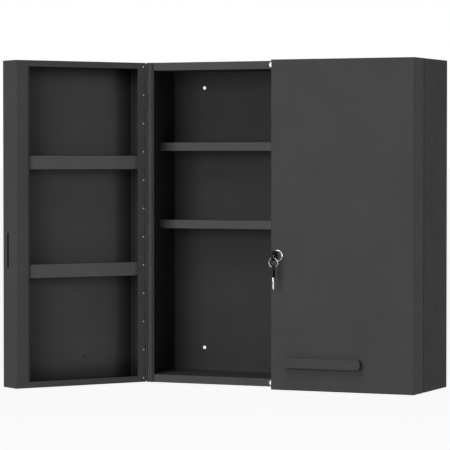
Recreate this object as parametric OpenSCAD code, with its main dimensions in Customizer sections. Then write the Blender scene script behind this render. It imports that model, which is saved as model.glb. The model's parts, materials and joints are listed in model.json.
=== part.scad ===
// Lockable two-door wall cabinet. X runs right, Y back to the wall, Z up, in millimetres.
// The origin is the middle of the four wall holes, on the rear face of the back panel.

/* [Cabinet] */
// Overall width across both doors
cabinet_w = 600; // [500:2:900]
// Overall height
cabinet_h = 652; // [600:2:900]
// Depth of the box behind the doors
body_d = 135.5; // [120:0.5:250]
// Thickness of all sheet metal
sheet_t = 1; // [0.8:0.1:1.4]
// Outside radius of the folds of the box
body_fold_r = 1.6; // [1.5:0.1:3]
// Width of the upright front frame members
stile_w = 17.5; // [16:0.5:40]
// Height of the top and bottom front frame members, which hide the ceiling and floor voids
rail_h = 16; // [15:0.5:40]

/* [Wall holes] */
// Diameter of the holes for the wall screws
wall_hole_d = 7; // [4:0.5:12]
// Distance between the left and right wall holes
wall_hole_w = 460; // [200:2:480]
// Distance between the upper and lower wall holes
wall_hole_h = 540; // [300:2:550]
// Height of the middle of the hole pattern above the underside
wall_hole_mid_h = 333.5; // [324:0.5:340]

/* [Cabinet shelves] */
// Height of the lower shelf's top above the underside
lower_shelf_h = 330.5; // [250:0.5:360]
// Height of the upper shelf's top above the underside
upper_shelf_h = 490; // [420:0.5:540]
// Depth of both shelves from the back panel
shelf_d = 70; // [40:1:110]
// Height of the turned-down front edge
shelf_lip_h = 17.3; // [8:0.1:30]

/* [Doors] */
// Depth of each door pan
door_d = 57.5; // [50:0.5:90]
// Gap between the closed doors and the front frame, filled by the hinge
door_gap = 4; // [4:0.1:6]
// Gap between the two closed doors
door_split = 2; // [1.5:0.1:5]
// Outside radius of the door's front edges
door_front_r = 2.6; // [2:0.1:5]
// Outside radius of the door's rear edges
door_rim_r = 1.5; // [1.5:0.1:3]
// Width of the rear flange at the hinge side
hinge_flange_w = 19.5; // [16:0.5:40]
// Width of the rear flange at the free edge
latch_flange_w = 33; // [28:0.5:50]
// Outside radius of the inward bend on that flange
latch_bend_r = 8; // [3:0.5:8]
// Depth of that bend and its return into the door
latch_return_d = 10; // [9:0.5:14]
// Height of the top and bottom rear flanges
end_flange_h = 12.4; // [6:0.2:20]
// Angle at which the left door stands open
left_door_open = 123.8; // [0:0.2:125]

/* [Door shelves] */
// Height of the lower door shelf's underside above the door's bottom
low_door_shelf_h = 218; // [120:1:230]
// Height of the upper door shelf's underside above the door's bottom
high_door_shelf_h = 435; // [330:1:480]
// Height of the retaining front edge
door_lip_h = 27.4; // [10:0.2:50]
// Distance of that edge behind the door's rear plane
door_lip_inset = 7; // [6:0.5:8]

/* [Hinges] */
// Distance of the hinge line inside the cabinet's side face
hinge_inset = 1; // [0.8:0.1:1]
// Width of each hinge leaf from the hinge line
leaf_w = 12; // [10:0.5:14]
// Thickness of each hinge leaf
leaf_t = 1; // [0.8:0.1:1.2]
// Number of knuckles, shared between the two leaves
knuckle_count = 22; // [12:2:30]
// Diameter of the hinge pin
hinge_pin_d = 2; // [1.6:0.1:2.2]
// Number of rivets in each door
rivet_count = 12; // [6:1:16]
// Distance of the rivets from the hinge line
rivet_inset = 5.7; // [5:0.1:6]
// Height of the first and last rivet from the ends of the door
rivet_end = 8.5; // [6:0.5:20]
// Diameter of the rivet shank
rivet_d = 3; // [2:0.1:3.2]

/* [Catches] */
// Distance of each magnetic catch from the middle of the cabinet
catch_inset = 21; // [10:0.5:30]
// Diameter of the catch
catch_d = 12; // [8:0.5:13]
// Height of the catch off the frame
catch_h = 3.4; // [2:0.1:3.4]

/* [Handles] */
// Length of the handle
handle_l = 163; // [110:0.5:200]
// Height of the handle's bar
handle_h = 19.6; // [14:0.2:26]
// Thickness of the handle's bar
handle_t = 4; // [3:0.5:8]
// Finger gap behind the bar
handle_gap = 9.5; // [9:0.5:30]
// Radius of the bowed ends of the bar
handle_end_r = 13.4; // [13.4:0.1:30]
// Length of the foot under each end of the bar
handle_foot_l = 15; // [12:0.5:25]
// Distance of the foot inside the bar's upper and lower edges
handle_foot_inset = 2; // [0.5:0.1:3]
// Distance of the handle's middle from the middle of the cabinet
handle_inset = 112.3; // [110:0.1:130]
// Height of the handle above the door's bottom
handle_up = 55; // [40:1:120]
// Diameter of the handle screws
handle_screw_d = 3.5; // [3:0.5:5]

/* [Lock] */
// Distance of the lock from the middle of the cabinet
lock_inset = 16.2; // [16:0.1:18]
// Height of the lock above the door's bottom
lock_h = 265.5; // [260:0.5:300]
// Outside diameter of the bright bezel ring
bezel_d = 23.5; // [22:0.1:28]
// Diameter of the lock barrel
barrel_d = 18; // [17:0.1:18]
// Diameter of the turning plug
plug_d = 12; // [11:0.1:13]
// Distance of the cam's middle plane behind the door's face
latch_depth = 21.5; // [21.5:0.1:26]
// Length of the cam from the plug's axis
cam_l = 44; // [36:0.5:44]
// Width of the cam
cam_w = 14; // [9:0.5:14]
// Thickness of the cam
cam_t = 2.5; // [2:0.1:3]
// Width of the slots that the cam passes through
slot_w = 6.4; // [5:0.1:8]
// Height of the slots
slot_h = 70; // [70:1:90]
// Height of the slots' middle above the lock's axis
slot_up = 8; // [7.5:0.1:8.5]

/* [Keys] */
// Length of a key's blade
blade_l = 21; // [14:0.5:21]
// Height of the blade
blade_h = 5.8; // [4:0.1:7]
// Thickness of the blade
blade_t = 1.2; // [1:0.1:1.6]
// Length of bare metal between the blade and the plastic head
collar_l = 3; // [2:0.1:5]
// Height of that collar
collar_h = 10.5; // [8:0.1:12]
// Width of the plastic head
head_w = 19.5; // [16:0.5:24]
// Thickness of the plastic head
head_t = 3.2; // [2.5:0.1:5]
// Distance from the collar to the middle of the head's eye
head_eye_l = 16.4; // [14:0.1:20]
// Diameter of the eye
eye_d = 9.6; // [8:0.1:10]
// Plastic left beyond the eye at the end of the head
eye_rim = 3.2; // [2:0.1:5]
// Middle diameter of the key ring
ring_d = 18.6; // [17:0.1:30]
// Diameter of the ring's wire
ring_wire_d = 1.6; // [1:0.1:1.8]
// Angle by which the hanging key is turned on the ring
spare_turn = 10; // [0:1:12]

/* [Hidden] */
$fn = 48;
run_fit = 0.05;
loose_fit = 0.3;
turn_gap = 0.25;
knuckle_end = 2;
knuckle_slack = 0.4;
knuckle_clear = 0.1;
notch_gap = 0.4;
rivet_head_h = 0.8;
rivet_head_extra = 1.6;
magnet_wall = 1.4;
magnet_floor = 0.6;
screw_head_h = 2.4;
screw_head_extra = 4;
screw_reach = 8;
bezel_h = 3.4;
bezel_seat_h = 1.2;
barrel_flange = 1;
plug_face = 3;
barrel_face = 2.4;
drive_w = 6;
drive_fit = 0.1;
cam_screw_d = 2.6;
cam_screw_reach = 3.4;
cam_screw_head_d = 8;
cam_screw_head_h = 1.5;
nut_w = 22;
nut_h = 4;
nut_sides = 6;
tang_l = 8;
tang_h = 8;
notch_count = 5;
notch_side = 1.6;
head_corner_r = 5;
tail_cut = 0.2;
over = 1;

half_w = cabinet_w / 2;
axis_x = half_w - hinge_inset;
hinge_half = door_gap / 2;
axis_y = -body_d - hinge_half;
door_near = -hinge_inset;
door_far = axis_x - door_split / 2;
door_back = hinge_half;
door_front = hinge_half + door_d;
face_y = axis_y - door_front;
barrel_r = hinge_half - knuckle_clear;
hinge_h = cabinet_h - 2 * knuckle_end;
knuckle_pitch = hinge_h / knuckle_count;
rivet_pitch = (cabinet_h - 2 * rivet_end) / (rivet_count - 1);
return_near = door_far - latch_flange_w;
lip_near = door_back + door_lip_inset;
slot_mid = door_front - latch_depth;
lock_s = axis_x - lock_inset;
handle_s = axis_x - handle_inset;
handle_screw_x = (handle_l - handle_foot_l) / 2;
bar_back = door_front + handle_gap;
cam_near = latch_depth - cam_t / 2;
cam_far = latch_depth + cam_t / 2;
barrel_end = cam_near - turn_gap;
wire_drop = eye_d / 2 - ring_wire_d / 2 - loose_fit;
eye_y = -plug_face - collar_l - head_eye_l;
ring_mid_z = -wire_drop - ring_d / 2;
spare_eye_z = ring_mid_z - ring_d / 2 - wire_drop;
head_l = head_eye_l + eye_d / 2 + eye_rim;

side_panel_left();
side_panel_right();
top_panel();
bottom_panel();
back_panel();
ceiling_panel();
floor_panel();
upper_shelf();
lower_shelf();
catch_cups();
catch_magnets();
frame_leaf_left();
frame_leaf_right();
hinge_pin_left();
hinge_pin_right();
door_pan_left();
door_pan_right();
door_leaf_left();
door_leaf_right();
rivets_left();
rivets_right();
high_door_shelf_left();
low_door_shelf_left();
high_door_shelf_right();
low_door_shelf_right();
handle_left();
handle_right();
handle_feet_left();
handle_feet_right();
handle_screws_left();
handle_screws_right();
lock_bezel();
lock_barrel();
lock_nut();
lock_plug();
lock_cam();
cam_screw();
key_blade();
key_head();
key_ring();
spare_blade();
spare_head();

// A box between two corners.
module block(low, high) {
    translate(low) cube(high - low);
}

// A quarter of a bent sheet along Z, between two flat legs that run along +X and +Y.
module fold(r, t, len) {
    translate([r, r, 0]) intersection() {
        difference() {
            cylinder(r = r, h = len);
            translate([0, 0, -over]) cylinder(r = r - t, h = len + 2 * over);
        }
        block([-r, -r, 0], [0, 0, len]);
    }
}

// An L of bent sheet along Z, with the outer corner at the origin.
module folded_angle(leg_x, leg_y, r, t, len) {
    block([r, 0, 0], [leg_x, t, len]);
    block([0, r, 0], [t, leg_y, len]);
    fold(r, t, len);
}

// A round rod along Y.
module rod_y(d, from, to) {
    translate([0, from, 0]) rotate([-90, 0, 0]) cylinder(d = d, h = to - from);
}

// A round rod along X.
module rod_x(d, from, to) {
    translate([from, 0, 0]) rotate([0, 90, 0]) cylinder(d = d, h = to - from);
}

// Moves a shape given from the cabinet's underside to the shared origin.
module hung() {
    translate([0, 0, -wall_hole_mid_h]) children();
}

// Doors are drawn with X from the hinge line, Y towards the viewer and Z up.
module as_left_door() {
    hung() translate([-axis_x, axis_y, 0]) rotate([0, 0, -left_door_open]) mirror([0, 1, 0]) children();
}

module as_right_door() {
    hung() translate([axis_x, axis_y, 0]) rotate([0, 0, 180]) children();
}

// Lock parts are drawn with Y into the door from its outer face.
module as_lock() {
    hung() translate([lock_inset, face_y, lock_h]) children();
}

// Box

module side_sheet() {
    translate([-half_w, -body_d, 0])
        folded_angle(stile_w, body_d, body_fold_r, sheet_t, cabinet_h);
}

module side_panel_left() {
    color("#3b3b3b") hung() side_sheet();
}

module side_panel_right() {
    color("#3b3b3b") hung() mirror([1, 0, 0]) side_sheet();
}

// The outer skin and front rail of the bottom. The top is the same sheet turned over.
module end_sheet() {
    rail_w = cabinet_w - 2 * stile_w;
    block([-half_w + sheet_t, -body_d + body_fold_r, 0], [half_w - sheet_t, 0, sheet_t]);
    translate([-rail_w / 2, -body_d, 0]) rotate([90, 0, 90])
        folded_angle(2 * body_fold_r, rail_h, body_fold_r, sheet_t, rail_w);
}

module bottom_panel() {
    color("#3b3b3b") hung() end_sheet();
}

module top_panel() {
    color("#3b3b3b") hung() translate([0, 0, cabinet_h]) mirror([0, 0, 1]) end_sheet();
}

module back_panel() {
    color("#333333") difference() {
        hung() block([-half_w + sheet_t, -sheet_t, sheet_t], [half_w - sheet_t, 0, cabinet_h - sheet_t]);
        for (x = [-1, 1])
            for (z = [-1, 1])
                translate([x * wall_hole_w / 2, 0, z * wall_hole_h / 2])
                    rod_y(wall_hole_d, -sheet_t - over, over);
    }
}

module liner(z) {
    block([-half_w + sheet_t, -body_d + sheet_t, z], [half_w - sheet_t, -sheet_t, z + sheet_t]);
}

module floor_panel() {
    color("#333333") hung() liner(rail_h - sheet_t);
}

module ceiling_panel() {
    color("#333333") hung() liner(cabinet_h - rail_h);
}

// A shelf with its front edge and both ends turned down.
module shelf(top) {
    inner = half_w - sheet_t;
    front = -sheet_t - shelf_d;
    translate([-inner, front, top]) rotate([90, 0, 90]) mirror([0, 1, 0])
        folded_angle(shelf_d, shelf_lip_h, body_fold_r, sheet_t, 2 * inner);
    for (x = [-inner, inner - sheet_t])
        block([x, front + sheet_t, top - shelf_lip_h], [x + sheet_t, -sheet_t, top - sheet_t / 2]);
}

module lower_shelf() {
    color("#3b3b3b") hung() shelf(lower_shelf_h);
}

module upper_shelf() {
    color("#3b3b3b") hung() shelf(upper_shelf_h);
}

module at_catches() {
    for (x = [-catch_inset, catch_inset])
        for (z = [rail_h / 2, cabinet_h - rail_h / 2])
            hung() translate([x, -body_d, z]) children();
}

module catch_cups() {
    color("#d8d8d8") at_catches() difference() {
        rod_y(catch_d, -catch_h, 0);
        rod_y(catch_d - 2 * magnet_wall, -catch_h - over, -magnet_floor);
    }
}

module catch_magnets() {
    color("#c4c4c4") at_catches() rod_y(catch_d - 2 * magnet_wall, -catch_h, -magnet_floor);
}

// Hinges

// One leaf of the piano hinge, with every second knuckle from the given one.
module leaf(first) {
    notch = barrel_r + notch_gap;
    difference() {
        union() {
            block([notch, hinge_half - leaf_t, knuckle_end], [leaf_w, hinge_half, cabinet_h - knuckle_end]);
            for (i = [first:2:knuckle_count - 1])
                translate([0, 0, knuckle_end + i * knuckle_pitch + knuckle_slack / 2]) {
                    cylinder(r = barrel_r, h = knuckle_pitch - knuckle_slack);
                    block([0, hinge_half - leaf_t, 0],
                        [notch + over, hinge_half - knuckle_clear, knuckle_pitch - knuckle_slack]);
                }
        }
        cylinder(d = hinge_pin_d + 2 * run_fit, h = cabinet_h);
    }
}

module at_rivets() {
    for (i = [0:rivet_count - 1])
        translate([rivet_inset, 0, rivet_end + i * rivet_pitch]) children();
}

module door_leaf() {
    difference() {
        leaf(0);
        at_rivets() rod_y(rivet_d + 2 * run_fit, hinge_half - leaf_t - over, hinge_half + over);
    }
}

module frame_leaf() {
    mirror([0, 1, 0]) leaf(1);
}

module frame_leaf_left() {
    color("#3b3b3b") hung() translate([-axis_x, axis_y, 0]) mirror([0, 1, 0]) frame_leaf();
}

module frame_leaf_right() {
    color("#3b3b3b") as_right_door() frame_leaf();
}

module hinge_pin() {
    translate([0, 0, knuckle_end]) cylinder(d = hinge_pin_d, h = hinge_h);
}

module hinge_pin_left() {
    color("#303030") hung() translate([-axis_x, axis_y, 0]) hinge_pin();
}

module hinge_pin_right() {
    color("#303030") as_right_door() hinge_pin();
}

module door_leaf_left() {
    color("#3b3b3b") as_left_door() door_leaf();
}

module door_leaf_right() {
    color("#3b3b3b") as_right_door() door_leaf();
}

module rivet_set() {
    near = hinge_half - leaf_t;
    far = hinge_half + sheet_t;
    at_rivets() {
        rod_y(rivet_d, near - rivet_head_h / 2, far + rivet_head_h / 2);
        rod_y(rivet_d + rivet_head_extra, near - rivet_head_h, near);
        rod_y(rivet_d + rivet_head_extra, far, far + rivet_head_h);
    }
}

module rivets_left() {
    color("#cfcfcf") as_left_door() rivet_set();
}

module rivets_right() {
    color("#cfcfcf") as_right_door() rivet_set();
}

// Doors

// The door's outline in plan, along Z, drawn in by a skin thickness.
module plan_form(skin) {
    x0 = door_near + skin;
    x1 = door_far - skin;
    y0 = door_back + skin;
    y1 = door_front - skin;
    front_r = door_front_r - skin;
    rim_r = door_rim_r - skin;
    block([x0, y0 + rim_r, skin], [x1, y1 - front_r, cabinet_h - skin]);
    block([x0 + rim_r, y0, skin], [x1 - rim_r, y1 - front_r, cabinet_h - skin]);
    block([x0 + front_r, y0 + rim_r, skin], [x1 - front_r, y1, cabinet_h - skin]);
    for (x = [x0 + front_r, x1 - front_r])
        translate([x, y1 - front_r, skin]) cylinder(r = front_r, h = cabinet_h - 2 * skin);
    for (x = [x0 + rim_r, x1 - rim_r])
        translate([x, y0 + rim_r, skin]) cylinder(r = rim_r, h = cabinet_h - 2 * skin);
}

// The door's outline seen from the side, along X, drawn in by a skin thickness.
module side_form(skin) {
    x0 = door_near + skin;
    x1 = door_far - skin;
    y0 = door_back + skin;
    y1 = door_front - skin;
    z0 = skin;
    z1 = cabinet_h - skin;
    front_r = door_front_r - skin;
    rim_r = door_rim_r - skin;
    block([x0, y0 + rim_r, z0], [x1, y1 - front_r, z1]);
    block([x0, y0, z0 + rim_r], [x1, y1 - front_r, z1 - rim_r]);
    block([x0, y0 + rim_r, z0 + front_r], [x1, y1, z1 - front_r]);
    for (z = [z0 + front_r, z1 - front_r])
        translate([0, y1 - front_r, z]) rod_x(2 * front_r, x0, x1);
    for (z = [z0 + rim_r, z1 - rim_r])
        translate([0, y0 + rim_r, z]) rod_x(2 * rim_r, x0, x1);
}

module door_form(skin) {
    intersection() {
        plan_form(skin);
        side_form(skin);
    }
}

module at_handle_screws() {
    for (x = [-handle_screw_x, handle_screw_x])
        translate([handle_s + x, 0, handle_up]) children();
}

module door_pan() {
    top = cabinet_h - end_flange_h;
    difference() {
        door_form(0);
        door_form(sheet_t);
        block([door_near + hinge_flange_w, 0, end_flange_h], [return_near + latch_bend_r, door_back + 2 * sheet_t, top]);
        at_rivets() rod_y(rivet_d + 2 * run_fit, 0, door_back + 2 * sheet_t);
        at_handle_screws() rod_y(handle_screw_d + 2 * run_fit, door_front - 2 * sheet_t, door_front + over);
        block([door_far - 2 * sheet_t, slot_mid - slot_w / 2, lock_h + slot_up - slot_h / 2],
            [door_far + over, slot_mid + slot_w / 2, lock_h + slot_up + slot_h / 2]);
    }
    translate([return_near, door_back, end_flange_h]) {
        fold(latch_bend_r, sheet_t, top - end_flange_h);
        block([0, latch_bend_r, 0], [sheet_t, latch_return_d, top - end_flange_h]);
    }
}

module door_pan_left() {
    color("#464646") as_left_door() door_pan();
}

module door_pan_right() {
    color("#464646") as_right_door() difference() {
        door_pan();
        translate([lock_s, 0, lock_h]) rod_y(barrel_d + 2 * run_fit, door_front - 2 * sheet_t, door_front + over);
    }
}

// A door shelf: a deck with a turned-up front edge, notched around the flange's return.
module door_shelf(under) {
    inner_near = door_near + sheet_t;
    inner_far = door_far - sheet_t;
    inner_front = door_front - sheet_t;
    translate([inner_near, lip_near, under]) rotate([90, 0, 90])
        folded_angle(inner_front - lip_near, door_lip_h, body_fold_r, sheet_t, return_near - inner_near);
    block([return_near - over, door_back + latch_return_d, under], [inner_far, inner_front, under + sheet_t]);
}

module high_door_shelf_left() {
    color("#3b3b3b") as_left_door() door_shelf(high_door_shelf_h);
}

module low_door_shelf_left() {
    color("#3b3b3b") as_left_door() door_shelf(low_door_shelf_h);
}

module high_door_shelf_right() {
    color("#3b3b3b") as_right_door() door_shelf(high_door_shelf_h);
}

module low_door_shelf_right() {
    color("#3b3b3b") as_right_door() door_shelf(low_door_shelf_h);
}

// Handles

// The outline of a bar with bowed ends, drawn in at its upper and lower edges, between two depths.
module bowed(near, far, inset) {
    half_h = handle_h / 2 - inset;
    bow_mid = handle_l / 2 - handle_end_r;
    bow = handle_end_r - sqrt(pow(handle_end_r, 2) - pow(half_h, 2));
    translate([handle_s, 0, handle_up]) intersection() {
        block([-handle_l / 2, near, -half_h], [handle_l / 2, far, half_h]);
        union() {
            block([-handle_l / 2 + bow, near, -half_h], [handle_l / 2 - bow, far, half_h]);
            for (x = [-bow_mid, bow_mid]) translate([x, 0, 0]) rod_y(2 * handle_end_r, near, far);
        }
    }
}

module handle() {
    bowed(bar_back, bar_back + handle_t, 0);
}

// The two feet that hold the ends of the bar off the door.
module handle_feet() {
    inner = handle_l / 2 - handle_foot_l;
    difference() {
        bowed(door_front, bar_back, handle_foot_inset);
        translate([handle_s, 0, handle_up])
            block([-inner, door_front - over, -handle_h], [inner, bar_back + over, handle_h]);
        at_handle_screws()
            rod_y(handle_screw_d + 2 * run_fit, door_front - over, door_front + screw_reach + loose_fit);
    }
}

module handle_left() {
    color("#434343") as_left_door() handle();
}

module handle_right() {
    color("#434343") as_right_door() handle();
}

module handle_feet_left() {
    color("#181818") as_left_door() handle_feet();
}

module handle_feet_right() {
    color("#181818") as_right_door() handle_feet();
}

module handle_screw_pair() {
    seat = door_front - sheet_t;
    at_handle_screws() {
        rod_y(handle_screw_d, seat - over, door_front + screw_reach);
        rod_y(handle_screw_d + screw_head_extra, seat - screw_head_h, seat);
    }
}

module handle_screws_left() {
    color("#434343") as_left_door() handle_screw_pair();
}

module handle_screws_right() {
    color("#434343") as_right_door() handle_screw_pair();
}

// Lock

module lock_bezel() {
    flange_d = barrel_d + 2 * barrel_flange;
    color("#e6e6e6") as_lock() difference() {
        rod_y(bezel_d, -bezel_h, 0);
        rod_y(barrel_d + 2 * run_fit, -bezel_h - over, over);
        rod_y(flange_d + 2 * run_fit, -bezel_h - over, -bezel_seat_h);
    }
}

module lock_barrel() {
    flange_d = barrel_d + 2 * barrel_flange;
    color("#2a2a2a") as_lock() difference() {
        union() {
            rod_y(barrel_d, -barrel_face, barrel_end);
            rod_y(flange_d, -barrel_face, -bezel_seat_h);
        }
        rod_y(plug_d + 2 * run_fit, -barrel_face - over, barrel_end + over);
    }
}

module lock_nut() {
    color("#a8a8a8") as_lock() translate([0, sheet_t, 0]) difference() {
        rotate([-90, 30, 0]) cylinder(d = nut_w / cos(180 / nut_sides), h = nut_h, $fn = nut_sides);
        rod_y(barrel_d + 2 * run_fit, -over, nut_h + over);
    }
}

// The plug turns in the barrel. Its keyway is open at the face and its square end drives the cam.
module lock_plug() {
    keyway_end = blade_l - plug_face + tail_cut;
    color("#303030") as_lock() difference() {
        union() {
            rod_y(plug_d, -plug_face, cam_near);
            block([-drive_w / 2, cam_near - over, -drive_w / 2], [drive_w / 2, cam_far - tail_cut, drive_w / 2]);
        }
        block([-blade_t / 2 - loose_fit, -plug_face - over, -blade_h / 2 - loose_fit],
            [blade_t / 2 + loose_fit, keyway_end, blade_h / 2 + loose_fit]);
        rod_y(cam_screw_d + 2 * run_fit, cam_far - cam_screw_reach - tail_cut, cam_far + over);
    }
}

// The cam points up when unlocked and through both door slots when locked.
module lock_cam() {
    drive = drive_w / 2 + drive_fit / 2;
    color("#c9c9c9") as_lock() difference() {
        union() {
            rod_y(cam_w, cam_near, cam_far);
            block([-cam_w / 2, cam_near, 0], [cam_w / 2, cam_far, cam_l - cam_w / 2]);
            translate([0, 0, cam_l - cam_w / 2]) rod_y(cam_w, cam_near, cam_far);
        }
        block([-drive, cam_near - over, -drive], [drive, cam_far + over, drive]);
    }
}

module cam_screw() {
    color("#9a9a9a") as_lock() {
        rod_y(cam_screw_d, cam_far - cam_screw_reach, cam_far + cam_screw_head_h / 2);
        rod_y(cam_screw_head_d, cam_far, cam_far + cam_screw_head_h);
    }
}

// Keys are drawn with the middle of the head's eye at the origin and the blade along Y.

module key_metal() {
    collar = head_eye_l;
    tip = head_eye_l + collar_l + blade_l;
    difference() {
        union() {
            block([-blade_t / 2, collar - tang_l, -tang_h / 2], [blade_t / 2, collar + over, tang_h / 2]);
            block([-blade_t / 2, collar, -collar_h / 2], [blade_t / 2, collar + collar_l, collar_h / 2]);
            block([-blade_t / 2, collar, -blade_h / 2], [blade_t / 2, tip, blade_h / 2]);
        }
        for (i = [1:notch_count])
            translate([-blade_t, collar + collar_l + i * blade_l / (notch_count + 1), -blade_h / 2])
                rotate([45, 0, 0]) translate([0, -notch_side / 2, -notch_side / 2])
                    cube([2 * blade_t, notch_side, notch_side]);
    }
}

module key_grip() {
    far = head_eye_l - head_l;
    side = head_w / 2;
    difference() {
        union() {
            block([-head_t / 2, far + head_corner_r, -side], [head_t / 2, head_eye_l - head_corner_r, side]);
            block([-head_t / 2, far, -side + head_corner_r], [head_t / 2, head_eye_l, side - head_corner_r]);
            for (y = [far + head_corner_r, head_eye_l - head_corner_r])
                for (z = [-1, 1])
                    translate([0, y, z * (side - head_corner_r)])
                        rod_x(2 * head_corner_r, -head_t / 2, head_t / 2);
        }
        rod_x(eye_d, -head_t, head_t);
        block([-blade_t / 2, head_eye_l - tang_l, -tang_h / 2], [blade_t / 2, head_eye_l + over, tang_h / 2]);
    }
}

module as_key() {
    as_lock() translate([0, eye_y, 0]) children();
}

module as_spare() {
    as_key() translate([0, 0, spare_eye_z]) rotate([0, 0, spare_turn]) rotate([-90, 0, 0]) children();
}

module key_blade() {
    color("#d0d0d0") as_key() key_metal();
}

module key_head() {
    color("#161616") as_key() key_grip();
}

module key_ring() {
    color("#d4d4d4") as_key() translate([0, 0, ring_mid_z]) rotate([90, 0, 0])
        rotate_extrude($fn = 96) translate([ring_d / 2, 0]) circle(d = ring_wire_d);
}

module spare_blade() {
    color("#d0d0d0") as_spare() key_metal();
}

module spare_head() {
    color("#161616") as_spare() key_grip();
}
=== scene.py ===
import json
import math

import bmesh
import bpy
from mathutils import Matrix


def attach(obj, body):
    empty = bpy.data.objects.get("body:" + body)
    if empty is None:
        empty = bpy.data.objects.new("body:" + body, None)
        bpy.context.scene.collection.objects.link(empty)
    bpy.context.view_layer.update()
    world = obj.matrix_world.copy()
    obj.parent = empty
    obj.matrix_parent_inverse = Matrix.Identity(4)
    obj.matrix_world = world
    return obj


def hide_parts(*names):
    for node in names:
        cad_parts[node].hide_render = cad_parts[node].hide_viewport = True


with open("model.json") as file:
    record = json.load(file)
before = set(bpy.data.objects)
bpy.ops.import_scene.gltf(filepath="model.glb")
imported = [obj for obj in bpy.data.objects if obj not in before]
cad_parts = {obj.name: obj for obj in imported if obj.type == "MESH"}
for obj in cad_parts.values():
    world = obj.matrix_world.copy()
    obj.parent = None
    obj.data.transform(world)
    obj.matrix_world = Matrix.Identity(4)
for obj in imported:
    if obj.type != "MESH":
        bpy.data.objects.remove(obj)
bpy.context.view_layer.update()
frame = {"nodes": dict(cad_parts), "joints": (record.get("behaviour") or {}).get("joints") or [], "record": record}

sheets = frame["nodes"]
joints = {joint["name"]: joint for joint in frame["joints"]}
mm = 0.001
print("frame loaded:", len(sheets), "nodes")


# where things sit, in millimetres, heights from the cabinet's underside

cabinet = {
    "height": 652,
    "holesMiddle": 333.5,     # the shared origin's height above the underside
    "front": -135.5,          # front plane of the box
    "railMiddle": 8,          # middle of the bottom rail
}
door = {
    "hingeX": 299,
    "hingeY": -137.5,
    "front": 59.5,            # outer face, from the hinge line
    "back": 2,                # rear plane, from the hinge line
    "sheet": 1,
    "openLeft": -joints["left_door_swing"]["range_deg"][0],
}


def at(x, y, z):
    return Matrix.Translation((x * mm, y * mm, (z - cabinet["holesMiddle"]) * mm))


def moved(x, y, z):
    return Matrix.Translation((x * mm, y * mm, z * mm))


def turned(degrees, axis):
    return Matrix.Rotation(math.radians(degrees), 4, axis)


leftDoor = (
    at(-door["hingeX"], door["hingeY"], 0)
    @ turned(-door["openLeft"], "Z")
    @ Matrix.Diagonal((1, -1, 1, 1))
)
rightDoor = at(door["hingeX"], door["hingeY"], 0) @ turned(180, "Z")
doorSides = {"left": leftDoor, "right": rightDoor}


# shader maths

class Signal:                 # a socket that takes part in Python expressions
    def __init__(self, recipe, socket):
        self.recipe = recipe
        self.socket = socket

    def together(self, operation, first, second):
        return self.recipe.add("ShaderNodeMath", {"operation": operation}, {0: first, 1: second})

    def __add__(self, other):
        return self.together("ADD", self, other)

    def __radd__(self, other):
        return self.together("ADD", other, self)

    def __sub__(self, other):
        return self.together("SUBTRACT", self, other)

    def __rsub__(self, other):
        return self.together("SUBTRACT", other, self)

    def __mul__(self, other):
        return self.together("MULTIPLY", self, other)

    def __rmul__(self, other):
        return self.together("MULTIPLY", other, self)


class Recipe:                 # a material or world and the nodes in it
    def __init__(self, owner):
        owner.use_nodes = True
        self.owner = owner
        self.tree = owner.node_tree

    def feed(self, socket, value):
        if isinstance(value, Signal):
            self.tree.links.new(value.socket, socket)
        else:
            socket.default_value = value

    def add(self, kind, settings=None, inputs=None, output=0):
        node = self.tree.nodes.new(kind)
        for name, value in (settings or {}).items():
            setattr(node, name, value)
        for name, value in (inputs or {}).items():
            self.feed(node.inputs[name], value)
        return Signal(self, node.outputs[output])

    def coords(self, stretch=(1, 1, 1)):
        place = self.add("ShaderNodeTexCoord", output="Object")
        inputs = {"Vector": place, "Scale": stretch}
        return self.add("ShaderNodeMapping", {"vector_type": "POINT"}, inputs)

    def noise(self, size, detail=2, roughness=0.5, stretch=(1, 1, 1)):
        # size is the width of one blot in millimetres
        return self.add("ShaderNodeTexNoise", {"noise_dimensions": "3D"}, {
            "Vector": self.coords(stretch),
            "Scale": 1 / (size * mm),
            "Detail": detail,
            "Roughness": roughness,
        })

    def ramp(self, signal, low, high, dark=0, light=1):
        # clamps and stretches a signal from low..high to dark..light
        return self.add("ShaderNodeMapRange", {"clamp": True}, {
            "Value": signal,
            "From Min": low,
            "From Max": high,
            "To Min": dark,
            "To Max": light,
        })

    def tint(self, factor, first, second):
        # first and second are colours or the signals of colours
        ends = [end if isinstance(end, Signal) else (*end, 1) for end in (first, second)]
        inputs = {0: factor, 6: ends[0], 7: ends[1]}
        return self.add("ShaderNodeMix", {"data_type": "RGBA"}, inputs, 2)

    def bump(self, height, depth, normal=None):
        inputs = {"Height": height, "Distance": depth * mm, "Strength": 1}
        if normal:
            inputs["Normal"] = normal
        return self.add("ShaderNodeBump", None, inputs)


def shaderOf(name, even, varied):
    recipe = Recipe(bpy.data.materials.new(name))
    shader = recipe.tree.nodes["Principled BSDF"]
    for socket, value in even.items():
        shader.inputs[socket].default_value = value
    for socket, value in varied(recipe).items():
        recipe.feed(shader.inputs[socket], value)
    return recipe.owner


# finishes

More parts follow.
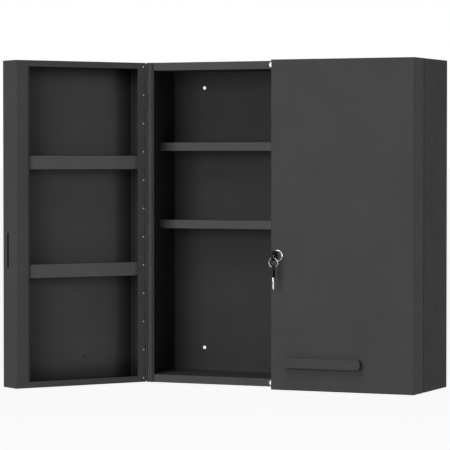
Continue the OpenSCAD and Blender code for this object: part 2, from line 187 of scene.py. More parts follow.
powderCoat = {
    "dark": (0.0412, 0.0412, 0.0404),
    "pale": (0.0461, 0.0461, 0.0452),
    "specular": 0.06,
    "roughness": 0.58,
    "cloud": 85,              # width of the faint clouds that uneven spraying leaves
    "cloudRange": (0.3, 0.7),
    "handled": 38,            # width of the spots that hands have dulled
    "handledRange": (0.42, 0.72),
    "handledRough": 0.06,
    "peel": 2.2,              # width of the orange peel's swells
    "peelDepth": 0.14,
    "grit": 0.5,              # width of the fine grain on top of it
    "gritDepth": 0.08,
    "gritTint": 0.35,
    "gritRough": 0.1,
    "fold": 0.9,              # outside radius that the coat leaves on a folded edge
    "corner": 62,             # reach of the painted shade in inside corners, set against the photo
    "shutIn": (0.36, 0.9),    # free share of the space around a spot, from darkest painted shade to full colour
    "cornerShade": 0.12,             # the painted shade's share of the dark colour in the deepest corner
    "foldRays": 6,
    "cornerRays": 8,
    "paintedLightTones": {                # shares of the coat's colour, set against the photo piece by piece: painted light and shade
        # painted shade: the sides and the inside are darker; painted light: the rails and shelves are paler
        "sides": (0.62, ("side_panel_left", "side_panel_right")),
        "inside": (0.71, ("back_panel", "ceiling_panel", "floor_panel")),
        "rails": (1.3, ("top_panel", "bottom_panel")),
        "shelves": (1.45, ("upper_shelf", "lower_shelf")),
        # the feet are plastic, but carry the coat's nodes; their dark tone is partly their own colour and partly
        # painted shade in the gap behind the bar's ends
        "feet": (0.45, ("handle_feet_left", "handle_feet_right")),
        "doorShelves": (1.45, ("high_door_shelf_left", "low_door_shelf_left",
                               "high_door_shelf_right", "low_door_shelf_right")),
    },
}


def powderCoatLook(recipe, tone=1.0):
    look = powderCoat
    # tone scales the coat's colour, which paints light and shade on some pieces
    dark, pale = ([part * tone for part in look[name]] for name in ("dark", "pale"))
    cloud = recipe.noise(look["cloud"], 3)
    peel = recipe.noise(look["peel"], 1.5, 0.4)
    grit = recipe.noise(look["grit"], 1.5, 0.55)
    handled = recipe.ramp(recipe.noise(look["handled"], 4, 0.62), *look["handledRange"])
    share = look["gritDepth"] / look["peelDepth"]
    fold = {"Radius": look["fold"] * mm}
    folded = recipe.add("ShaderNodeBevel", {"samples": look["foldRays"]}, fold)
    # painted shade: the colour darkens in inside corners, where shade falls
    free = recipe.add(
        "ShaderNodeAmbientOcclusion",
        {"samples": look["cornerRays"], "only_local": True},
        {"Distance": look["corner"] * mm},
        "AO",
    )
    cornerShade = [part * look["cornerShade"] for part in dark]
    blend = recipe.ramp(cloud + look["gritTint"] * (grit - 0.5), *look["cloudRange"])
    full = recipe.tint(blend, dark, pale)
    worn = look["roughness"] + look["handledRough"] * handled
    return {
        "Base Color": recipe.tint(recipe.ramp(free, *look["shutIn"]), cornerShade, full),
        "Roughness": worn + look["gritRough"] * (grit - 0.5),
        "Normal": recipe.bump(peel + share * grit, look["peelDepth"], folded),
    }


platedSteel = {
    "warm": (0.31, 0.30, 0.28),
    "cold": (0.31, 0.32, 0.335),
    "roughness": 0.27,
    "cloud": 2.6,             # width of the plating's warmer and colder patches
    "spangle": 0.45,          # width of its crystals
    "spangleDepth": 0.004,
    "spangleRough": 0.16,
}


def platedSteelLook(recipe):
    look = platedSteel
    cloud = recipe.ramp(recipe.noise(look["cloud"], 3), 0.3, 0.7)
    spangle = recipe.noise(look["spangle"], 2, 0.6)
    return {
        "Base Color": recipe.tint(cloud, look["warm"], look["cold"]),
        "Roughness": look["roughness"] + look["spangleRough"] * spangle,
        "Normal": recipe.bump(spangle, look["spangleDepth"]),
    }


nickel = {
    "bright": (0.52, 0.51, 0.49),
    "dull": (0.40, 0.39, 0.365),
    "roughness": 0.26,
    "scuff": 0.7,             # width of a scuff
    "scuffStretch": (1, 1, 0.16),
    "scuffDepth": 0.006,
    "scuffRough": 0.22,
}


def nickelLook(recipe):
    look = nickel
    scuffs = recipe.ramp(recipe.noise(look["scuff"], 4, 0.7, look["scuffStretch"]), 0.5, 0.75)
    return {
        "Base Color": recipe.tint(scuffs, look["bright"], look["dull"]),
        "Roughness": look["roughness"] + look["scuffRough"] * scuffs,
        "Normal": recipe.bump(scuffs, look["scuffDepth"]),
    }


chrome = {
    "clean": (0.60, 0.605, 0.61),
    "misty": (0.50, 0.505, 0.51),
    "roughness": 0.12,
    "mist": 3.2,              # width of the patches that fingers leave
    "mistRough": 0.08,
    "wave": 1.1,              # width of the polish's waves
    "waveDepth": 0.0015,
}


def chromeLook(recipe):
    look = chrome
    mist = recipe.ramp(recipe.noise(look["mist"], 3), 0.45, 0.75)
    return {
        "Base Color": recipe.tint(mist, look["clean"], look["misty"]),
        "Roughness": look["roughness"] + look["mistRough"] * mist,
        "Normal": recipe.bump(recipe.noise(look["wave"], 1), look["waveDepth"]),
    }


blackZinc = {
    "dark": (0.075, 0.075, 0.077),
    "worn": (0.135, 0.134, 0.132),
    "metallic": 0.9,
    "roughness": 0.38,
    "wear": 1.4,              # width of the worn spots
    "wearRough": 0.12,
    "pit": 0.3,
    "pitDepth": 0.003,
}


def blackZincLook(recipe):
    look = blackZinc
    worn = recipe.ramp(recipe.noise(look["wear"], 3, 0.6), 0.48, 0.8)
    return {
        "Base Color": recipe.tint(worn, look["dark"], look["worn"]),
        "Roughness": look["roughness"] + look["wearRough"] * worn,
        "Normal": recipe.bump(recipe.noise(look["pit"], 1), look["pitDepth"]),
    }


blackPlastic = {
    "dark": (0.0050, 0.0050, 0.0052),
    "pale": (0.0085, 0.0085, 0.0087),
    "specular": 0.12,
    "roughness": 0.45,
    "rub": 6,                 # width of the spots that fingers have polished
    "rubShine": 0.1,
    "pebble": 0.28,           # width of the mould's grain
    "pebbleDepth": 0.012,
    "pebbleRough": 0.08,
}


def blackPlasticLook(recipe):
    look = blackPlastic
    pebble = recipe.noise(look["pebble"], 2, 0.5)
    rubbed = recipe.ramp(recipe.noise(look["rub"], 3, 0.6), 0.45, 0.75)
    return {
        "Base Color": recipe.tint(rubbed, look["dark"], look["pale"]),
        "Roughness": look["roughness"] - look["rubShine"] * rubbed + look["pebbleRough"] * pebble,
        "Normal": recipe.bump(pebble, look["pebbleDepth"]),
    }


coated = {"Specular IOR Level": powderCoat["specular"]}
moulded = {"Specular IOR Level": blackPlastic["specular"]}
finishes = {
    "powder_coat": shaderOf("powderCoat", coated, powderCoatLook),
    "plated_steel": shaderOf("platedSteel", {"Metallic": 1}, platedSteelLook),
    "magnet": shaderOf("nickelMagnet", {"Metallic": 1}, nickelLook),
    "bright_chrome": shaderOf("brightChrome", {"Metallic": 1}, chromeLook),
    "black_zinc": shaderOf("blackZinc", {"Metallic": blackZinc["metallic"]}, blackZincLook),
    "key_steel": shaderOf("keyNickel", {"Metallic": 1}, nickelLook),
    "black_plastic": shaderOf("blackPlastic", moulded, blackPlasticLook),
}
slotOf = {part["node"]: part["material_slot"] for part in frame["record"]["subparts"]}
coatOf = {}                   # nodes whose coat is made paler or darker, as painted light and shade
# a lit or shaded copy of the coat for each group: painted light and shade
for tone, (level, names) in powderCoat["paintedLightTones"].items():
    coat = shaderOf(tone + "Coat", coated, lambda recipe: powderCoatLook(recipe, level))
    coatOf.update({name: coat for name in names})
for name, sheet in sheets.items():
    sheet.data.materials.clear()
    sheet.data.materials.append(coatOf.get(name) or finishes[slotOf[name]])
print("finishes made:", len(finishes) + len(powderCoat["paintedLightTones"]))


# shapes made with bmesh operators, in millimetres

hair = 0.01                   # tolerance when edges are picked by their depth
sharpFrom = 40                # degrees between two faces whose edge still shades as a curve


def vertsIn(result):
    return [item for item in result["geom"] if isinstance(item, bmesh.types.BMVert)]


def lathe(bm, profile, steps=48, closed=False):
    # turns a profile of (radius, depth) round the Y axis
    rim = [bm.verts.new((radius, depth, 0)) for radius, depth in profile]
    ends = rim[1:] + rim[:1] if closed else rim[1:]
    edges = [bm.edges.new(pair) for pair in zip(rim, ends)]
    bmesh.ops.spin(
        bm,
        geom=rim + edges,
        cent=(0, 0, 0),
        axis=(0, 1, 0),
        angle=2 * math.pi,
        steps=steps,
        use_merge=True,
    )


def merge(bm, distance=0.0005):
    bmesh.ops.remove_doubles(bm, verts=bm.verts, dist=distance)
    bmesh.ops.dissolve_degenerate(bm, edges=bm.edges, dist=distance)
    bmesh.ops.recalc_face_normals(bm, faces=bm.faces)


def slab(bm, loops, low, high):
    # fills outlines of (x, z), the first outside and the rest holes, and thickens them along Y
    edges = []
    for loop in loops:
        ring = [bm.verts.new((x, low, z)) for x, z in loop]
        edges += [bm.edges.new(pair) for pair in zip(ring, ring[1:] + ring[:1])]
    filled = bmesh.ops.triangle_fill(bm, edges=edges, use_beauty=True, normal=(0, -1, 0))
    faces = [item for item in filled["geom"] if isinstance(item, bmesh.types.BMFace)]
    grown = bmesh.ops.extrude_face_region(bm, geom=faces)
    bmesh.ops.translate(bm, verts=vertsIn(grown), vec=(0, high - low, 0))
    bmesh.ops.recalc_face_normals(bm, faces=bm.faces)


def creases(bm, fromDepth, toDepth, angle=50):
    # the sharp edges that lie between two depths
    found = []
    for edge in bm.edges:
        if len(edge.link_faces) != 2 or edge.calc_face_angle() < math.radians(angle):
            continue
        if all(fromDepth <= vert.co.y <= toDepth for vert in edge.verts):
            found.append(edge)
    return found


def soften(bm, edges, width, segments=3):
    bmesh.ops.bevel(
        bm,
        geom=edges,
        offset=width,
        offset_type="OFFSET",
        affect="EDGES",
        segments=segments,
        profile=0.5,
        material=-1,
        clamp_overlap=True,
    )


def arc(x, z, radius, start, end, steps):
    span = [math.radians(start + (end - start) * step / steps) for step in range(steps + 1)]
    return [(x + radius * math.cos(angle), z + radius * math.sin(angle)) for angle in span]


def circle(radius, sides=48):
    return arc(0, 0, radius, 0, 360, sides)[:-1]


def outerCreases(bm, radius):
    # the sharp edges that lie outside a radius from the Y axis
    edges = creases(bm, -math.inf, math.inf)
    return [edge for edge in edges if min(vert.co.xz.length for vert in edge.verts) > radius]


def roundedBox(x0, x1, z0, z1, radius, steps):
    return (
        arc(x1 - radius, z1 - radius, radius, 0, 90, steps)
        + arc(x0 + radius, z1 - radius, radius, 90, 180, steps)
        + arc(x0 + radius, z0 + radius, radius, 180, 270, steps)
        + arc(x1 - radius, z0 + radius, radius, 270, 360, steps)
    )


def stamp(target, source, place):
    # adds a copy of one bmesh to another, in metres
    spare = bpy.data.meshes.new("spare")
    source.to_mesh(spare)
    start = len(target.verts)
    target.from_mesh(spare)
    target.verts.ensure_lookup_table()
    bmesh.ops.transform(target, matrix=place @ Matrix.Scale(mm, 4), verts=target.verts[start:])
    bpy.data.meshes.remove(spare)


def settle(name, shape, places, body, *replaced):
    # turns a bmesh in millimetres into a finished piece that rides on a body in a node's place
    merge(shape)
    whole = bmesh.new()
    for place in places:
        stamp(whole, shape, place)
    shape.free()
    bmesh.ops.recalc_face_normals(whole, faces=whole.faces)
    for face in whole.faces:
        face.smooth = True
    for edge in whole.edges:
        edge.smooth = len(edge.link_faces) != 2 or edge.calc_face_angle() < math.radians(sharpFrom)
    mesh = bpy.data.meshes.new(name)
    whole.to_mesh(mesh)
    whole.free()
    piece = bpy.data.objects.new(name, mesh)
    bpy.context.scene.collection.objects.link(piece)
    slot = slotOf[replaced[0]]
    mesh.materials.append(coatOf.get(replaced[0]) or finishes[slot])
    evened = piece.modifiers.new("evened", "WEIGHTED_NORMAL")
    evened.keep_sharp = True
    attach(piece, body)
    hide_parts(*replaced)


# camera and light

camera = {                    # metres, degrees and millimetres of lens, fitted to the outline
    "place": (1.9175, -4.7825, 0.1218),
    "pitch": 88.506,
    "yaw": 23.72,
    "lens": 201.52,
    "sensor": 36,
    "clip": (0.1, 900),
}
lens = bpy.data.cameras.new("camera")
lens.lens = camera["lens"]
lens.sensor_width = camera["sensor"]
lens.clip_start, lens.clip_end = camera["clip"]
cameraObject = bpy.data.objects.new("camera", lens)
cameraObject.location = camera["place"]
cameraObject.rotation_euler = (math.radians(camera["pitch"]), 0, math.radians(camera["yaw"]))
bpy.context.scene.collection.objects.link(cameraObject)
bpy.context.scene.camera = cameraObject
bpy.context.scene.view_settings.view_transform = "Standard"

studio = {
    "fill": 0.02,             # the surround's level, as seen by matt surfaces
    "aim": (0, -0.1, 0),
    "away": 4.2,              # metres from the aim to each lamp
    "lamps": {                # azimuth from straight ahead towards the right, degrees and metres
        "frontLamp": {"azimuth": -6, "elevation": 8, "width": 2.6, "height": 2.0, "watts": 120},
        "rightLamp": {"azimuth": 76, "elevation": 8, "width": 2.0, "height": 2.0, "watts": 64},
        "backLamp": {"azimuth": -150, "elevation": 22, "width": 2.6, "height": 2.0, "watts": 90},
        "topLamp": {"azimuth": -15, "elevation": 50, "width": 2.0, "height": 2.0, "watts": 82},
    },
}


def seenDirectly(recipe):
    # one where the camera, a reflection or a clear piece looks straight at the background
    path = [recipe.add("ShaderNodeLightPath", output=name)
            for name in ("Is Camera Ray", "Is Glossy Ray", "Is Transmission Ray")]
    direct = path[0]
    for other in path[1:]:
        direct = recipe.add("ShaderNodeMath", {"operation": "MAXIMUM"}, {0: direct, 1: other})
    return direct


world = bpy.data.worlds.new("studio")
bpy.context.scene.world = world
around = Recipe(world)
direct = seenDirectly(around)
surround = around.tree.nodes["Background"]
surround.inputs["Color"].default_value = (1, 1, 1, 1)
around.feed(surround.inputs["Strength"], studio["fill"] + (1 - studio["fill"]) * direct)

for name, lamp in studio["lamps"].items():
    light = bpy.data.lights.new(name, "AREA")
    light.shape = "RECTANGLE"
    light.size = lamp["width"]
    light.size_y = lamp["height"]
    light.energy = lamp["watts"]
    lightObject = bpy.data.objects.new(name, light)
    lightObject.matrix_world = (
        Matrix.Translation(studio["aim"])
        @ turned(lamp["azimuth"], "Z")
        @ turned(90 - lamp["elevation"], "X")
        @ Matrix.Translation((0, 0, studio["away"]))
    )
    bpy.context.scene.collection.objects.link(lightObject)

ground = {
    "height": -1.35,          # metres, below the wall holes
    "reach": 400,
    "matt": 0.62,             # what the lamps and the object's shadow fall on
    "nearGlow": 0.46,         # what the camera sees on top of it, close by
    "farGlow": 0.92,          # and where the lamps no longer reach
    "near": 3.2,              # metres from the origin between which the one gives way to the other
    "far": 5.8,
}
bm = bmesh.new()
bmesh.ops.create_grid(bm, x_segments=1, y_segments=1, size=ground["reach"])
bmesh.ops.translate(bm, verts=bm.verts, vec=(0, 0, ground["height"]))
floorMesh = bpy.data.meshes.new("floor")
bm.to_mesh(floorMesh)
bm.free()
floor = bpy.data.objects.new("floor", floorMesh)
bpy.context.scene.collection.objects.link(floor)
paleFloor = Recipe(bpy.data.materials.new("paleFloor"))
matt = paleFloor.add("ShaderNodeBsdfDiffuse", None, {"Color": (*[ground["matt"]] * 3, 1)})
spot = paleFloor.coords()
away = paleFloor.add("ShaderNodeVectorMath", {"operation": "LENGTH"}, {0: spot}, "Value")
level = paleFloor.ramp(away, ground["near"], ground["far"], ground["nearGlow"], ground["farGlow"])
glow = paleFloor.add("ShaderNodeEmission", None, {"Strength": level * seenDirectly(paleFloor)})
lit = paleFloor.add("ShaderNodeAddShader", None, {0: matt, 1: glow})
clear = paleFloor.add("ShaderNodeBsdfTransparent")
below = paleFloor.add("ShaderNodeNewGeometry", output="Backfacing")
shown = paleFloor.add("ShaderNodeMixShader", None, {0: below, 1: lit, 2: clear})
paleFloor.feed(paleFloor.tree.nodes["Material Output"].inputs["Surface"], shown)
floorMesh.materials.append(paleFloor.owner)
print("camera, lamps and floor placed")


# magnetic catches on the rails

catch = {
    "apart": 21,              # from the cabinet's middle
    "radius": 6,
    "height": 3.4,
    "wall": 1.4,
    "base": 0.6,
    "round": 0.5,
    "chamfer": 0.25,
    "magnetGap": 0.04,        # between magnet and cup
    "magnetDrop": 0.3,        # from the cup's rim down to the magnet's face
    "dimple": 1.1,            # radius of the dimple in the magnet's face
}


def catchPlaces():
    spots = []
    for x in (-catch["apart"], catch["apart"]):
        for z in (cabinet["railMiddle"], cabinet["height"] - cabinet["railMiddle"]):
            spots.append(at(x, cabinet["front"], z))
    return spots


def catchCup():
    bm = bmesh.new()
    radius, height, turn = catch["radius"], -catch["height"], catch["round"]
    inner = radius - catch["wall"]
    chamfer = catch["chamfer"]
    bend = [(radius - turn + turn * math.cos(angle), height + turn - turn * math.sin(angle))
            for angle in (0, 0.4, 0.8, 1.2)]
    lathe(bm, [
        (0, 0), (radius, 0), *bend, (radius - turn, height),
        (inner + chamfer, height), (inner, height + chamfer),
        (inner, -catch["base"]), (0, -catch["base"]),
    ])
    return bm


def catchMagnet():
    bm = bmesh.new()
    radius = catch["radius"] - catch["wall"] - catch["magnetGap"]
    face = -catch["height"] + catch["magnetDrop"]
    lathe(bm, [
        (0, -catch["base"]), (radius, -catch["base"]), (radius, face + 0.3), (radius - 0.3, face),
        (catch["dimple"], face), (catch["dimple"] - 0.2, face + 0.25), (0, face + 0.25),
    ])
    return bm


settle("catchCups", catchCup(), catchPlaces(), "cabinet", "catch_cups")
settle("catchMagnets", catchMagnet(), catchPlaces(), "cabinet", "catch_magnets")
print("catches made")


# rivets through hinge and door

rivet = {
    "count": 12,
    "inset": 5.7,             # from the hinge line
    "end": 8.5,               # from the first and last rivet to the cabinet's ends
    "shank": 1.5,
    "head": 1.75,             # radius of the domed head
    "rise": 0.65,
    "sides": 20,
}


def rivetShape():
    bm = bmesh.new()
    near, far = door["back"] - 1, door["back"] + door["sheet"]
    dome = [(rivet["head"] * math.sin(angle), rivet["rise"] * math.cos(angle))
            for angle in (0, 0.35, 0.7, 1.0, 1.3, math.pi / 2)]
    lathe(bm, [
        *[(radius, near - rise) for radius, rise in dome],
        (rivet["shank"], near), (rivet["shank"], far),
        *[(radius, far + rise) for radius, rise in reversed(dome)],
    ], rivet["sides"])
    return bm


def rivetPlaces(side):
    pitch = (cabinet["height"] - 2 * rivet["end"]) / (rivet["count"] - 1)
    heights = [rivet["end"] + pitch * step for step in range(rivet["count"])]
    return [doorSides[side] @ moved(rivet["inset"], 0, height) for height in heights]


for side in doorSides:
    places = rivetPlaces(side)
    settle("rivets" + side.title(), rivetShape(), places, side + "_door", "rivets_" + side)
print("rivets made")


# handles, their feet and screws

handle = {
    "length": 163,
    "height": 19.6,
    "thick": 4,
    "gap": 9.5,               # between door and bar
    "bow": 13.4,              # radius of the bowed ends
    "bowSteps": 14,
    "middle": 186.7,          # from the hinge line
    "up": 55,                 # above the cabinet's underside
    "foot": 15,               # length of each foot along the bar
    "footInset": 2,
    "footEdge": 0.6,
    "edge": 1.3,              # rounding of the front edges
    "rearEdge": 0.5,
}


def bowedEnd(inset, sign):
    halfHeight = handle["height"] / 2 - inset
    swing = math.degrees(math.asin(halfHeight / handle["bow"]))
    middle = handle["length"] / 2 - handle["bow"]
    points = arc(middle, 0, handle["bow"], -swing, swing, handle["bowSteps"])
    return points if sign > 0 else [(-x, -z) for x, z in points]


def handleBar():
    bm = bmesh.new()
    back = door["front"] + handle["gap"]
    front = back + handle["thick"]
    slab(bm, [bowedEnd(0, 1) + bowedEnd(0, -1)], back, front)
    soften(bm, creases(bm, front - hair, front + hair), handle["edge"], 4)
    soften(bm, creases(bm, back - hair, back + hair), handle["rearEdge"], 2)
    return bm


def handleFeet():
    bm = bmesh.new()
    back = door["front"]
    front = back + handle["gap"]
    inner = handle["length"] / 2 - handle["foot"]
    halfHeight = handle["height"] / 2 - handle["footInset"]
    for sign in (1, -1):
        square = [(sign * inner, sign * halfHeight), (sign * inner, -sign * halfHeight)]
        slab(bm, [bowedEnd(handle["footInset"], sign) + square], back, front)
    soften(bm, creases(bm, back - hair, front + hair), handle["footEdge"], 2)
    return bm


screw = {
    "shank": 1.72,
    "reach": 8,               # past the door's skin, into the foot
    "head": 3.75,
    "headHeight": 2.4,
    "sides": 24,
    "cross": 0.45,            # half the width of the recess's arms
    "crossReach": 1.9,
    "crossDepth": 1.2,
    "crossTaper": 0.72,       # the recess's floor as a share of its mouth
}


def crossOutline():
    half, reach = screw["cross"], screw["crossReach"]
    quarter = [(half, reach), (half, half), (reach, half)]
    corners = []
    for turn in range(4):
        for x, z in quarter:
            for _ in range(turn):
                x, z = z, -x
            corners.append((x, z))
    middles = [((x0 + x1) / 2, (z0 + z1) / 2)
               for (x0, z0), (x1, z1) in zip(corners, corners[1:] + corners[:1])]
    return [point for pair in zip(corners, middles) for point in pair]


def crossRecess(bm, depth, sink):
    # closes the open rim of a screw's head with a cross-shaped recess
    rim = [edge for edge in bm.edges if edge.is_boundary]
    ring = [bm.verts.new((x, depth, z)) for x, z in crossOutline()]
    cross = [bm.edges.new(pair) for pair in zip(ring, ring[1:] + ring[:1])]
    bmesh.ops.bridge_loops(bm, edges=rim + cross)
    sunk = bmesh.ops.extrude_edge_only(bm, edges=cross)
    floorVerts = vertsIn(sunk)
    bmesh.ops.translate(bm, verts=floorVerts, vec=(0, sink, 0))
    bmesh.ops.scale(bm, verts=floorVerts, vec=(screw["crossTaper"], 1, screw["crossTaper"]))
    bmesh.ops.holes_fill(bm, edges=[edge for edge in bm.edges if edge.is_boundary])


def handleScrew():
    bm = bmesh.new()
    seat = door["front"] - door["sheet"]
    top = seat - screw["headHeight"]
    tip = seat + door["sheet"] + screw["reach"]
    shank, head = screw["shank"], screw["head"]
    lathe(bm, [
        (0, tip), (shank - 0.5, tip), (shank, tip - 0.5), (shank, seat), (head, seat),
        (head, seat - 1), (head - 0.25, top + 0.7), (head - 0.8, top + 0.25), (head - 1.4, top),
    ], screw["sides"])
    merge(bm)
    crossRecess(bm, top, screw["crossDepth"])
    return bm


def handlePlaces(side, offsets=(0,)):
    return [doorSides[side] @ moved(handle["middle"] + x, 0, handle["up"]) for x in offsets]


footReach = (handle["length"] - handle["foot"]) / 2
for side in doorSides:
    body, end = side + "_door", side.title()
    ends = handlePlaces(side, (-footReach, footReach))
    settle("handle" + end, handleBar(), handlePlaces(side), body, "handle_" + side)
    settle("handleFeet" + end, handleFeet(), handlePlaces(side), body, "handle_feet_" + side)
    settle("handleScrews" + end, handleScrew(), ends, body, "handle_screws_" + side)
print("handles made")


# lock in the right door

lock = {                      # depths are counted from the door's face into the door
    "x": 16.2,                # from the cabinet's middle
    "up": 265.5,              # above the cabinet's underside
    "bezel": 11.75,           # radii of bezel, flange, barrel and plug
    "bezelHeight": 3.4,
    "bezelGap": 0.06,
    "flange": 10,
    "flangeBack": -1.2,
    "flangeFront": -2.4,
    "barrel": 9,
    "barrelEnd": 20,
    "plug": 6,
    "gap": 0.05,              # round the plug and inside the nut
    "thread": 1.0,            # pitch
    "threadDepth": 0.35,
    "nutFlats": 22,           # from flat to flat
    "nutHeight": 4,
    "nutEdge": 0.7,
    "camWidth": 14,
    "camLength": 44,          # from the axis to the tip
    "camNear": 20.25,
    "camFar": 22.75,
    "camHole": 3.05,          # half the width of the square hole
    "camEdge": 0.45,
    "camScrew": 1.3,
    "camScrewHead": 4,
    "camScrewHeight": 1.5,
    "camScrewReach": 3.4,
    "camScrewCross": 0.9,     # depth of its recess
}
lockPlace = at(lock["x"], door["hingeY"] - door["front"], lock["up"])


def lockBezel():
    bm = bmesh.new()
    outer, height = lock["bezel"], lock["bezelHeight"]
    bore, inner = lock["barrel"] + lock["bezelGap"], lock["flange"] + lock["bezelGap"]
    lathe(bm, [
        (bore, 0), (outer, 0), (outer, -1.3), (outer - 0.1, -2), (outer - 0.35, -2.6),
        (outer - 0.75, -3.1), (outer - 1.2, -height),
        (inner + 0.25, -height), (inner, -height + 0.25),
        (inner, lock["flangeBack"]), (bore, lock["flangeBack"]),
    ], 72, True)
    return bm


def lockBarrel():
    bm = bmesh.new()
    radius, flange, end = lock["barrel"], lock["flange"], lock["barrelEnd"]
    back, front = lock["flangeBack"], lock["flangeFront"]
    bore = lock["plug"] + lock["gap"]
    thread = []
    depth = -back
    while depth < end + back:
        thread += [(radius, depth), (radius - lock["threadDepth"], depth + lock["thread"] / 2)]
        depth += lock["thread"]
    lathe(bm, [
        (bore, front + 0.15), (bore + 0.15, front),
        (flange - 0.3, front), (flange, front + 0.3), (flange, back),
        (radius, back), *thread, (radius, end - 0.5), (radius - 0.5, end), (bore, end),
    ], 48, True)
    return bm


def lockNut():
    bm = bmesh.new()
    corner = lock["nutFlats"] / 2 / math.cos(math.pi / 6)
    hexagon = arc(0, 0, corner, 30, 330, 5)
    hole = circle(lock["barrel"] + lock["gap"])
    slab(bm, [hexagon, hole], door["sheet"], door["sheet"] + lock["nutHeight"])
    soften(bm, outerCreases(bm, corner - hair), lock["nutEdge"], 2)
    return bm


def lockCam():
    bm = bmesh.new()
    half = lock["camWidth"] / 2
    tip = lock["camLength"] - half
    outline = arc(0, tip, half, 0, 180, 16) + arc(0, 0, half, 180, 360, 16)
    hole = lock["camHole"]
    square = [(hole, hole), (-hole, hole), (-hole, -hole), (hole, -hole)]
    slab(bm, [outline, square], lock["camNear"], lock["camFar"])
    soften(bm, outerCreases(bm, half - hair), lock["camEdge"], 2)
    return bm


def camScrew():
    bm = bmesh.new()
    seat = lock["camFar"]
    top = seat + lock["camScrewHeight"]
    tip = seat - lock["camScrewReach"]
    shank, head = lock["camScrew"], lock["camScrewHead"]
    lathe(bm, [
        (0, tip), (shank, tip + 0.4), (shank, seat), (head, seat),
        (head, top - 0.8), (head - 0.3, top - 0.3), (head - 1.2, top),
    ], screw["sides"])
    merge(bm)
    crossRecess(bm, top, -lock["camScrewCross"])
    return bm


settle("lockBezel", lockBezel(), [lockPlace], "right_door", "lock_bezel")
settle("lockBarrel", lockBarrel(), [lockPlace], "right_door", "lock_barrel")
settle("lockNut", lockNut(), [lockPlace], "right_door", "lock_nut")
settle("lockCam", lockCam(), [lockPlace], "latch", "lock_cam")
settle("camScrew", camScrew(), [lockPlace], "latch", "cam_screw")
print("lock made")


# two keys and their ring

key = {
    "eyeDepth": -22.4,        # the eye's middle in front of the door's face
    "eye": 4.8,
    "ringDrop": 13.0,         # ring's middle below the eye
    "spareDrop": 26.0,        # spare key's eye below the first
    "spareTurn": 10,          # how far the spare is turned on the ring
    "far": -8,                # the head's ends, from the eye towards the blade
    "near": 16.4,
    "side": 9.75,             # half the head's width
    "thick": 1.6,             # half its thickness
    "corner": 5,
    "edge": 0.4,
    "panel": 7.4,             # start of the panel that the grip fills
    "margin": 2.6,            # from the panel to the head's sides
    "overlap": 0.3,           # how far the grip goes into the head
    "gripSunk": 0.45,
    "ribs": (8.6, 10.6, 12.6),
    "ribHalf": 0.4,
    "ribSunk": 0.1,
    "tang": 8,                # the part of the blade inside the head
    "tangHalf": 4,
    "collar": 3,
    "collarHalf": 5.25,
    "blade": 21,
    "bladeHalf": 2.9,
    "bladeThick": 0.6,        # half its thickness
    "point": 1.6,             # length of the tapered tip
    "cuts": ((3.4, 0.9), (6.9, 1.5), (10.4, 0.6), (13.9, 1.8), (17.4, 1.1)),    # place, depth
    "grooves": ((-0.35, 0.55), (1.2, 1.9)),    # lower and upper edge of each
    "grooveStart": 0.8,       # past the head's end
    "grooveDepth": 0.16,
}
keyPlace = lockPlace @ moved(0, key["eyeDepth"], 0)
spareEye = keyPlace @ moved(0, 0, -key["spareDrop"])
sparePlace = spareEye @ turned(key["spareTurn"], "Z") @ turned(-90, "X")
alongKey = turned(90, "Z")    # a slab's X becomes the key's length


def score(bm, point, direction):
    # adds edges round a shape where a plane meets it
    everything = bm.verts[:] + bm.edges[:] + bm.faces[:]
    bmesh.ops.bisect_plane(bm, geom=everything, dist=0.0001, plane_co=point, plane_no=direction)


def keyBlade():
    bm = bmesh.new()
    head = key["near"]
    root = head + key["collar"]
    tip = root + key["blade"]
    taper = tip - key["point"]
    half, tang, collar = key["bladeHalf"], key["tangHalf"], key["collarHalf"]
    bitting = []
    for place, depth in key["cuts"]:
        bitting += [(root + place - 1.1, -half), (root + place - 0.35, depth - half),
                    (root + place + 0.35, depth - half), (root + place + 1.1, -half)]
    slab(bm, [[
        (head - key["tang"], tang), (head, tang), (head, collar), (root - 0.6, collar),
        (root, collar - 0.6), (root, half), (taper, half), (tip, 0.9), (tip, -0.9),
        (taper, -half), *reversed(bitting), (root, -half), (root, -collar + 0.6),
        (root - 0.6, -collar), (head, -collar), (head, -tang), (head - key["tang"], -tang),
    ]], -key["bladeThick"], key["bladeThick"])
    start = head + key["grooveStart"]
    for groove in key["grooves"]:                   # milled along both sides
        for level in groove:
            score(bm, (0, 0, level), (0, 0, 1))
    score(bm, (start, 0, 0), (1, 0, 0))
    score(bm, (taper, 0, 0), (1, 0, 0))
    for low, high in key["grooves"]:
        for facing in (-1, 1):
            band = []
            for face in bm.faces:
                middle = face.calc_center_median()
                inside = low < middle.z < high and start < middle.x < taper
                if inside and face.normal.y * facing > 0.9:
                    band.append(face)
            bmesh.ops.inset_region(
                bm, faces=band, thickness=0.1, depth=-key["grooveDepth"], use_even_offset=True
            )
    return bm


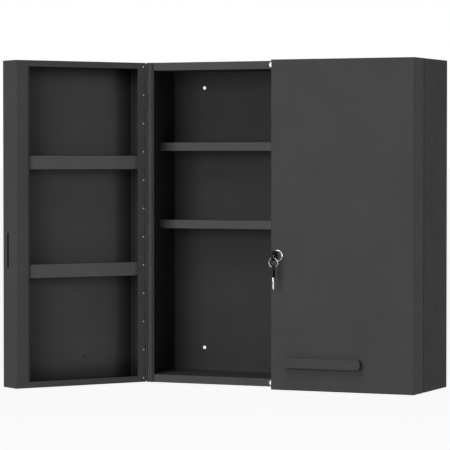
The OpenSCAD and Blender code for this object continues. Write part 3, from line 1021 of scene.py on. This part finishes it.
def keyHead():
    bm = bmesh.new()
    thick, side, start = key["thick"], key["side"], key["panel"]
    outline = roundedBox(key["far"], key["near"], -side, side, key["corner"], 8)
    half, end = side - key["margin"], key["near"] - key["margin"]
    panel = roundedBox(start, end, -half, half, 1.6, 5)
    slab(bm, [outline, circle(key["eye"]), panel], -thick, thick)
    soften(bm, creases(bm, -thick - hair, thick + hair), key["edge"], 3)
    merge(bm)
    grip = bmesh.new()
    lap, sunk = key["overlap"], thick - key["gripSunk"]
    slab(grip, [roundedBox(start - lap, end + lap, -half - lap, half + lap, 1.7, 5)], -sunk, sunk)
    for x in key["ribs"]:                           # ribs that fingers hold
        wide, long, rise = key["ribHalf"], half - 0.8, thick - key["ribSunk"]
        slab(grip, [roundedBox(x - wide, x + wide, -long, long, 0.35, 3)], -rise, rise)
    joined = bpy.data.meshes.new("joined")
    grip.to_mesh(joined)
    grip.free()
    bm.from_mesh(joined)
    bpy.data.meshes.remove(joined)
    return bm


splitRing = {
    "radius": 9.3,
    "wire": 0.38,
    "pitch": 0.8,
    "turns": 1.9,
    "start": 200,             # degrees round the ring to the wire's first end
    "steps": 96,              # in one turn
    "sides": 12,              # round the wire
}


def ringShape():
    bm = bmesh.new()
    turns, pitch = splitRing["turns"], splitRing["pitch"]
    bmesh.ops.create_circle(
        bm,
        cap_ends=True,
        segments=splitRing["sides"],
        radius=splitRing["wire"],
        matrix=Matrix.Translation((splitRing["radius"], -pitch * turns / 2, 0)),
    )
    bmesh.ops.rotate(bm, verts=bm.verts, cent=(0, 0, 0), matrix=turned(splitRing["start"], "Y"))
    bmesh.ops.spin(
        bm,
        geom=bm.verts[:] + bm.edges[:] + bm.faces[:],
        cent=(0, 0, 0),
        axis=(0, 1, 0),
        dvec=(0, pitch / splitRing["steps"], 0),
        angle=2 * math.pi * turns,
        steps=round(splitRing["steps"] * turns),
        use_merge=False,
    )
    return bm


settle("keyBlade", keyBlade(), [keyPlace @ alongKey], "key", "key_blade")
settle("keyHead", keyHead(), [keyPlace @ alongKey], "key", "key_head")
ringPlace = keyPlace @ moved(0, 0, -key["ringDrop"])
settle("keyRing", ringShape(), [ringPlace], "ring", "key_ring")
settle("spareBlade", keyBlade(), [sparePlace @ alongKey], "spare_key", "spare_blade")
settle("spareHead", keyHead(), [sparePlace @ alongKey], "spare_key", "spare_head")
print("keys made")
